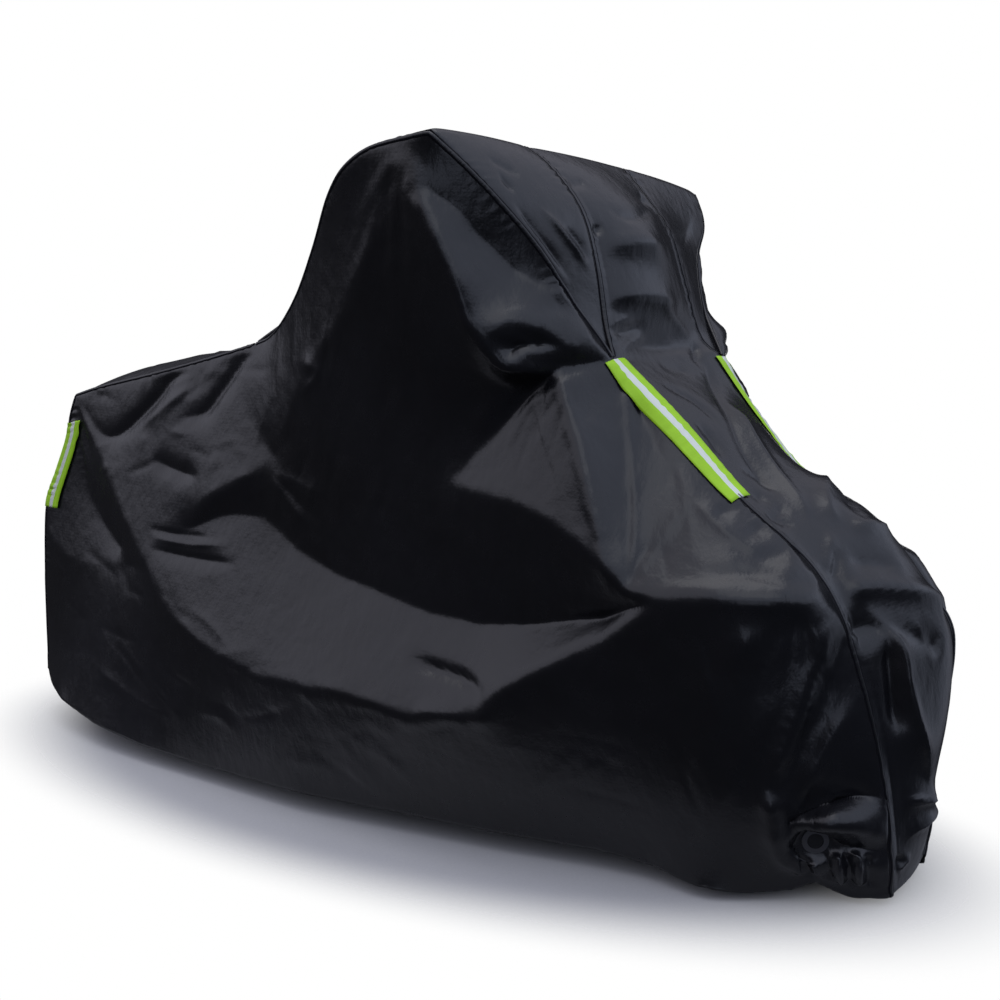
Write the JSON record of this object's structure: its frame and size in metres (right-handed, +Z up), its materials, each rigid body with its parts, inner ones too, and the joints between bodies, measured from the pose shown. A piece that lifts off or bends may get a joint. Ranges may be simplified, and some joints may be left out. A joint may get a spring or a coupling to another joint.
{
  "type": "fitted motorcycle cover",
  "caption": "Fitted outdoor motorcycle cover of dark coated cloth, draped over handlebar, seat and wheels, with sewn reflective tapes and lock eyelets.",
  "frame": {"origin": "where the handlebar carries the cover, under its top, on the motorcycle's middle plane", "axes": "+X towards the front wheel, +Y to the rider's left, +Z up"},
  "size_m": [2.2341, 0.8697, 1.3001],
  "materials": {
    "cloth": "tightly woven coated polyester, soft sheen",
    "reflective_tape": "fluorescent lime with a silver retro-reflective centre stripe",
    "eyelet_metal": "plain bright metal"
  },
  "bodies": {
    "root": {"side_panel_right": "cloth", "side_panel_left": "cloth", "lock_corner_right": "cloth", "lock_corner_left": "cloth", "middle_strip": "cloth", "gusset_right": "cloth", "gusset_left": "cloth", "tail_panel": "cloth", "tape_front_right": "reflective_tape", "tape_front_left": "reflective_tape", "tape_rear_right": "reflective_tape", "tape_rear_left": "reflective_tape", "lock_eyelet_right": "eyelet_metal", "lock_eyelet_left": "eyelet_metal"}
  },
  "joints": []
}
